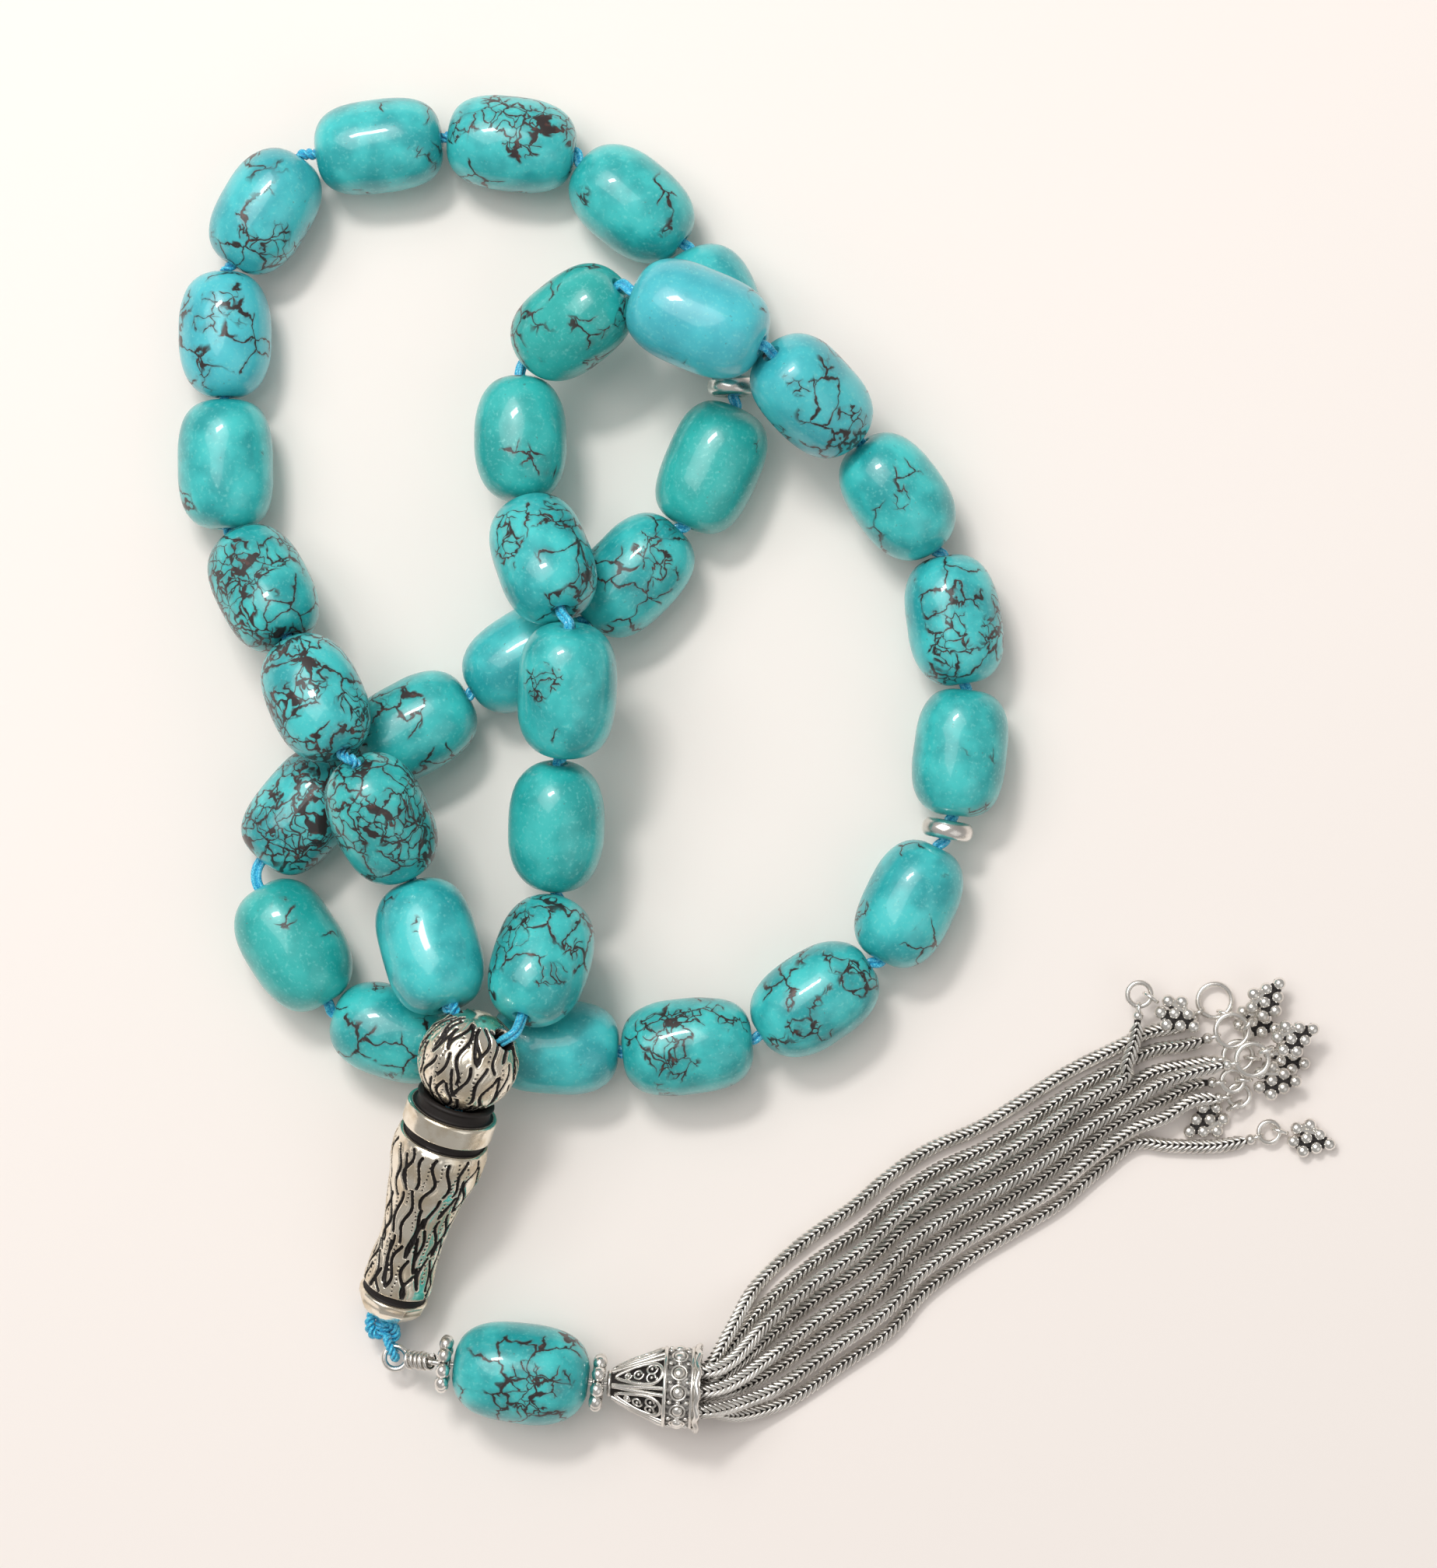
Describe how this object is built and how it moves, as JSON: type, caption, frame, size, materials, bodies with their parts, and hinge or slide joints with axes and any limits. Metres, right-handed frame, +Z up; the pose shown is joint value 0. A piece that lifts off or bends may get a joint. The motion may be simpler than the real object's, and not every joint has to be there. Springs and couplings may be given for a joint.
{
  "type": "misbaha prayer beads",
  "caption": "Misbaha of veined turquoise-blue barrel beads on a blue string, with a silver imam and a tassel of foxtail chains with granulated charms.",
  "frame": {"origin": "on the surface the beads lie on, under the middle of the object's box", "axes": "+Z up; +Y towards the far end of the bead loop, away from the tassel; the tassel's chains run towards +X"},
  "size_m": [0.127, 0.146, 0.022],
  "materials": {
    "turquoise": "polished, with dark brown veins",
    "silver": "polished silver with blackened recesses",
    "nylon": "twisted bright blue cord"
  },
  "bodies": {
    "string": {"string_loop": "nylon"},
    "bead_01": {"bead_01": "turquoise"},
    "bead_02": {"bead_02": "turquoise"},
    "bead_03": {"bead_03": "turquoise"},
    "bead_04": {"bead_04": "turquoise"},
    "bead_05": {"bead_05": "turquoise"},
    "bead_06": {"bead_06": "turquoise"},
    "bead_07": {"bead_07": "turquoise"},
    "bead_08": {"bead_08": "turquoise"},
    "bead_09": {"bead_09": "turquoise"},
    "bead_10": {"bead_10": "turquoise"},
    "bead_11": {"bead_11": "turquoise"},
    "bead_12": {"bead_12": "turquoise"},
    "bead_13": {"bead_13": "turquoise"},
    "bead_14": {"bead_14": "turquoise"},
    "bead_15": {"bead_15": "turquoise"},
    "bead_16": {"bead_16": "turquoise"},
    "bead_17": {"bead_17": "turquoise"},
    "bead_18": {"bead_18": "turquoise"},
    "bead_19": {"bead_19": "turquoise"},
    "bead_20": {"bead_20": "turquoise"},
    "bead_21": {"bead_21": "turquoise"},
    "bead_22": {"bead_22": "turquoise"},
    "bead_23": {"bead_23": "turquoise"},
    "bead_24": {"bead_24": "turquoise"},
    "bead_25": {"bead_25": "turquoise"},
    "bead_26": {"bead_26": "turquoise"},
    "bead_27": {"bead_27": "turquoise"},
    "bead_28": {"bead_28": "turquoise"},
    "bead_29": {"bead_29": "turquoise"},
    "bead_30": {"bead_30": "turquoise"},
    "bead_31": {"bead_31": "turquoise"},
    "bead_32": {"bead_32": "turquoise"},
    "bead_33": {"bead_33": "turquoise"},
    "separator_disc_1": {"separator_disc_1": "silver"},
    "separator_disc_2": {"separator_disc_2": "silver"},
    "imam": {"imam_ball": "silver", "imam_body": "silver", "string_tail": "nylon"},
    "wire": {"tassel_wire": "silver"},
    "beaded_spacer_1": {"beaded_spacer_1": "silver"},
    "tassel_bead": {"tassel_bead": "turquoise"},
    "beaded_spacer_2": {"beaded_spacer_2": "silver"},
    "cone_cap": {"cone_cap": "silver"},
    "tassel_chain_1": {"tassel_chain_1": "silver"},
    "tassel_chain_2": {"tassel_chain_2": "silver"},
    "tassel_chain_3": {"tassel_chain_3": "silver"},
    "tassel_chain_4": {"tassel_chain_4": "silver"},
    "tassel_chain_5": {"tassel_chain_5": "silver"},
    "tassel_chain_6": {"tassel_chain_6": "silver"},
    "tassel_chain_7": {"tassel_chain_7": "silver"},
    "tassel_chain_8": {"tassel_chain_8": "silver"},
    "tassel_charm_1": {"tassel_charm_1": "silver"},
    "tassel_charm_2": {"tassel_charm_2": "silver"},
    "tassel_charm_3": {"tassel_charm_3": "silver"},
    "tassel_charm_4": {"tassel_charm_4": "silver"},
    "tassel_charm_5": {"tassel_charm_5": "silver"},
    "tassel_charm_6": {"tassel_charm_6": "silver"},
    "tassel_charm_7": {"tassel_charm_7": "silver"},
    "tassel_charm_8": {"tassel_charm_8": "silver"}
  },
  "joints": [
    {"name": "imam_swing", "type": "hinge", "parent": "string", "child": "imam", "pos_m": [-0.02998, -0.02809, 0.01522], "axis": [-1, 0, 0], "range_deg": [0, 30]},
    {"name": "tassel_swing", "type": "hinge", "parent": "imam", "child": "wire", "pos_m": [-0.04036, -0.06413, 0.0032], "axis": [0, 0, 1], "range_deg": [-25, 8]},
    {"name": "chain_8_fan", "type": "hinge", "parent": "wire", "child": "tassel_chain_8", "pos_m": [-0.01171, -0.06802, 0.00546], "axis": [0, 0, -1], "range_deg": [0, 6]},
    {"name": "charm_8_swing", "type": "hinge", "parent": "tassel_chain_8", "child": "tassel_charm_8", "pos_m": [0.05739, -0.04053, 0.0011], "axis": [0.1392, -0.9903, 0], "range_deg": [0, 80]},
    {"name": "chain_1_fan", "type": "hinge", "parent": "wire", "child": "tassel_chain_1", "pos_m": [-0.01171, -0.06802, 0.00546], "axis": [0, 0, -1], "range_deg": [-0.65, 0]},
    {"name": "charm_1_swing", "type": "hinge", "parent": "tassel_chain_1", "child": "tassel_charm_1", "pos_m": [0.05144, -0.02761, 0.0011], "axis": [-0.766, -0.6428, 0], "range_deg": [0, 8]},
    {"name": "tassel_bead_spin", "type": "hinge", "parent": "wire", "child": "tassel_bead", "pos_m": [-0.026, -0.06664, 0.00546], "axis": [0.9925, -0.1219, 0], "continuous": true},
    {"name": "chain_2_fan", "type": "hinge", "parent": "wire", "child": "tassel_chain_2", "pos_m": [-0.01171, -0.06802, 0.00546], "axis": [0, 0, -1], "range_deg": [0, 1.19]},
    {"name": "chain_3_fan", "type": "hinge", "parent": "wire", "child": "tassel_chain_3", "pos_m": [-0.01171, -0.06802, 0.00546], "axis": [0, 0, -1], "range_deg": [0, 1.91]},
    {"name": "chain_4_fan", "type": "hinge", "parent": "wire", "child": "tassel_chain_4", "pos_m": [-0.01171, -0.06802, 0.00546], "axis": [0, 0, -1], "range_deg": [0, 2.69]},
    {"name": "chain_5_fan", "type": "hinge", "parent": "wire", "child": "tassel_chain_5", "pos_m": [-0.01171, -0.06802, 0.00546], "axis": [0, 0, -1], "range_deg": [0, 3.47]},
    {"name": "chain_6_fan", "type": "hinge", "parent": "wire", "child": "tassel_chain_6", "pos_m": [-0.01171, -0.06802, 0.00546], "axis": [0, 0, -1], "range_deg": [0, 4.31]},
    {"name": "chain_7_fan", "type": "hinge", "parent": "wire", "child": "tassel_chain_7", "pos_m": [-0.01171, -0.06802, 0.00546], "axis": [0, 0, -1], "range_deg": [0, 5.15]},
    {"name": "charm_2_swing", "type": "hinge", "parent": "tassel_chain_2", "child": "tassel_charm_2", "pos_m": [0.05362, -0.02872, 0.0029], "axis": [0.3746, -0.9272, 0], "range_deg": [0, 80]},
    {"name": "charm_3_swing", "type": "hinge", "parent": "tassel_chain_3", "child": "tassel_charm_3", "pos_m": [0.04301, -0.02573, 0.0031], "axis": [-0.2588, -0.9659, 0], "range_deg": [0, 80]},
    {"name": "charm_4_swing", "type": "hinge", "parent": "tassel_chain_4", "child": "tassel_charm_4", "pos_m": [0.05443, -0.03251, 0.0011], "axis": [-0.1392, -0.9903, 0], "range_deg": [0, 5]},
    {"name": "charm_5_swing", "type": "hinge", "parent": "tassel_chain_5", "child": "tassel_charm_5", "pos_m": [0.05548, -0.03149, 0.0039], "axis": [0.5736, -0.8192, 0], "range_deg": [0, 80]},
    {"name": "charm_6_swing", "type": "hinge", "parent": "tassel_chain_6", "child": "tassel_charm_6", "pos_m": [0.05325, -0.03479, 0.0026], "axis": [0.0872, -0.9962, 0], "range_deg": [0, 8]},
    {"name": "charm_7_swing", "type": "hinge", "parent": "tassel_chain_7", "child": "tassel_charm_7", "pos_m": [0.0524, -0.0377, 0.0017], "axis": [-0.9272, 0.3746, 0], "range_deg": [0, 8]},
    {"name": "separator_disc_1_spin", "type": "hinge", "parent": "string", "child": "separator_disc_1", "pos_m": [-0.00285, 0.04111, 0.0052], "axis": [0, -1, 0], "continuous": true},
    {"name": "separator_disc_2_spin", "type": "hinge", "parent": "string", "child": "separator_disc_2", "pos_m": [0.02055, -0.00729, 0.0052], "axis": [0.1736, 0.9848, 0], "continuous": true},
    {"name": "beaded_spacer_1_spin", "type": "hinge", "parent": "wire", "child": "beaded_spacer_1", "pos_m": [-0.03439, -0.06561, 0.00546], "axis": [0.9925, -0.1219, 0], "continuous": true},
    {"name": "beaded_spacer_2_spin", "type": "hinge", "parent": "wire", "child": "beaded_spacer_2", "pos_m": [-0.01761, -0.06767, 0.00546], "axis": [0.9925, -0.1219, 0], "continuous": true},
    {"name": "cone_cap_spin", "type": "hinge", "parent": "wire", "child": "cone_cap", "pos_m": [-0.01151, -0.06803, 0.00546], "axis": [0.9983, -0.0576, 0], "continuous": true},
    {"name": "bead_01_spin", "type": "hinge", "parent": "string", "child": "bead_01", "pos_m": [-0.03555, -0.01979, 0.011], "axis": [-0.2796, 0.9145, -0.2924], "continuous": true},
    {"name": "bead_02_spin", "type": "hinge", "parent": "string", "child": "bead_02", "pos_m": [-0.04065, -0.00599, 0.013], "axis": [-0.3512, 0.8273, 0.4384], "continuous": true},
    {"name": "bead_03_spin", "type": "hinge", "parent": "string", "child": "bead_03", "pos_m": [-0.04765, 0.00691, 0.0136], "axis": [-0.4318, 0.8474, -0.309], "continuous": true},
    {"name": "bead_04_spin", "type": "hinge", "parent": "string", "child": "bead_04", "pos_m": [-0.05385, 0.01891, 0.0082], "axis": [-0.4255, 0.8002, -0.4226], "continuous": true},
    {"name": "bead_05_spin", "type": "hinge", "parent": "string", "child": "bead_05", "pos_m": [-0.05825, 0.03261, 0.0052], "axis": [-0.0175, 0.9998, 0], "continuous": true},
    {"name": "bead_06_spin", "type": "hinge", "parent": "string", "child": "bead_06", "pos_m": [-0.05835, 0.04681, 0.00504], "axis": [0, 1, 0], "continuous": true},
    {"name": "bead_07_spin", "type": "hinge", "parent": "string", "child": "bead_07", "pos_m": [-0.05395, 0.06031, 0.0051], "axis": [0.5299, 0.848, 0], "continuous": true},
    {"name": "bead_08_spin", "type": "hinge", "parent": "string", "child": "bead_08", "pos_m": [-0.04155, 0.06741, 0.0051], "axis": [0.9925, 0.1219, 0], "continuous": true},
    {"name": "bead_09_spin", "type": "hinge", "parent": "string", "child": "bead_09", "pos_m": [-0.02705, 0.06761, 0.00515], "axis": [0.9925, -0.1219, 0], "continuous": true},
    {"name": "bead_10_spin", "type": "hinge", "parent": "string", "child": "bead_10", "pos_m": [-0.01395, 0.06111, 0.0052], "axis": [0.788, -0.6157, 0], "continuous": true},
    {"name": "bead_11_spin", "type": "hinge", "parent": "string", "child": "bead_11", "pos_m": [-0.00485, 0.04961, 0.00515], "axis": [0.3746, -0.9272, 0], "continuous": true},
    {"name": "bead_12_spin", "type": "hinge", "parent": "string", "child": "bead_12", "pos_m": [-0.00525, 0.03231, 0.0052], "axis": [-0.3907, -0.9205, 0], "continuous": true},
    {"name": "bead_13_spin", "type": "hinge", "parent": "string", "child": "bead_13", "pos_m": [-0.01385, 0.02051, 0.0052], "axis": [-0.6947, -0.7193, 0], "continuous": true},
    {"name": "bead_14_spin", "type": "hinge", "parent": "string", "child": "bead_14", "pos_m": [-0.02555, 0.01161, 0.00515], "axis": [-0.8387, -0.5446, 0], "continuous": true},
    {"name": "bead_15_spin", "type": "hinge", "parent": "string", "child": "bead_15", "pos_m": [-0.03795, 0.00381, 0.0052], "axis": [-0.8746, -0.4848, 0], "continuous": true},
    {"name": "bead_16_spin", "type": "hinge", "parent": "string", "child": "bead_16", "pos_m": [-0.04985, -0.00529, 0.00515], "axis": [-0.6428, -0.766, 0], "continuous": true},
    {"name": "bead_17_spin", "type": "hinge", "parent": "string", "child": "bead_17", "pos_m": [-0.05085, -0.01989, 0.00536], "axis": [0.515, -0.8572, 0], "continuous": true},
    {"name": "bead_18_spin", "type": "hinge", "parent": "string", "child": "bead_18", "pos_m": [-0.03985, -0.02949, 0.0051], "axis": [0.9511, -0.309, 0], "continuous": true},
    {"name": "bead_19_spin", "type": "hinge", "parent": "string", "child": "bead_19", "pos_m": [-0.02235, -0.03099, 0.00515], "axis": [0.9986, -0.0523, 0], "continuous": true},
    {"name": "bead_20_spin", "type": "hinge", "parent": "string", "child": "bead_20", "pos_m": [-0.00785, -0.03099, 0.00525], "axis": [0.9945, 0.1045, 0], "continuous": true},
    {"name": "bead_21_spin", "type": "hinge", "parent": "string", "child": "bead_21", "pos_m": [0.00605, -0.02579, 0.00525], "axis": [0.8387, 0.5446, 0], "continuous": true},
    {"name": "bead_22_spin", "type": "hinge", "parent": "string", "child": "bead_22", "pos_m": [0.01635, -0.01539, 0.0051], "axis": [0.4384, 0.8988, 0], "continuous": true},
    {"name": "bead_23_spin", "type": "hinge", "parent": "string", "child": "bead_23", "pos_m": [0.02195, 0.00111, 0.0051], "axis": [0.1045, 0.9945, 0], "continuous": true},
    {"name": "bead_24_spin", "type": "hinge", "parent": "string", "child": "bead_24", "pos_m": [0.02125, 0.01561, 0.0052], "axis": [-0.1564, 0.9877, 0], "continuous": true},
    {"name": "bead_25_spin", "type": "hinge", "parent": "string", "child": "bead_25", "pos_m": [0.01505, 0.02901, 0.00635], "axis": [-0.5649, 0.8067, 0.1736], "continuous": true},
    {"name": "bead_26_spin", "type": "hinge", "parent": "string", "child": "bead_26", "pos_m": [0.00555, 0.03941, 0.0122], "axis": [-0.623, 0.6016, 0.5], "continuous": true},
    {"name": "bead_27_spin", "type": "hinge", "parent": "string", "child": "bead_27", "pos_m": [-0.00665, 0.04731, 0.01621], "axis": [-0.9155, 0.3886, -0.1045], "continuous": true},
    {"name": "bead_28_spin", "type": "hinge", "parent": "string", "child": "bead_28", "pos_m": [-0.02015, 0.04751, 0.01065], "axis": [-0.7299, -0.5111, -0.454], "continuous": true},
    {"name": "bead_29_spin", "type": "hinge", "parent": "string", "child": "bead_29", "pos_m": [-0.02595, 0.03521, 0.00779], "axis": [0.0174, -0.9974, 0.0698], "continuous": true},
    {"name": "bead_30_spin", "type": "hinge", "parent": "string", "child": "bead_30", "pos_m": [-0.02335, 0.02191, 0.0125], "axis": [0.2991, -0.8219, 0.4848], "continuous": true},
    {"name": "bead_31_spin", "type": "hinge", "parent": "string", "child": "bead_31", "pos_m": [-0.02065, 0.00771, 0.0146], "axis": [-0.0498, -0.9498, -0.309], "continuous": true},
    {"name": "bead_32_spin", "type": "hinge", "parent": "string", "child": "bead_32", "pos_m": [-0.02195, -0.00689, 0.0097], "axis": [-0.0339, -0.9697, -0.2419], "continuous": true},
    {"name": "bead_33_spin", "type": "hinge", "parent": "string", "child": "bead_33", "pos_m": [-0.02355, -0.02129, 0.0115], "axis": [-0.2703, -0.8318, 0.4848], "continuous": true}
  ],
  "couplings": [
    {"joint": "chain_1_fan", "follows": "chain_8_fan", "ratio": -0.1},
    {"joint": "chain_2_fan", "follows": "chain_8_fan", "ratio": 0.19},
    {"joint": "chain_3_fan", "follows": "chain_8_fan", "ratio": 0.31},
    {"joint": "chain_4_fan", "follows": "chain_8_fan", "ratio": 0.44},
    {"joint": "chain_5_fan", "follows": "chain_8_fan", "ratio": 0.57},
    {"joint": "chain_6_fan", "follows": "chain_8_fan", "ratio": 0.71},
    {"joint": "chain_7_fan", "follows": "chain_8_fan", "ratio": 0.85}
  ]
}
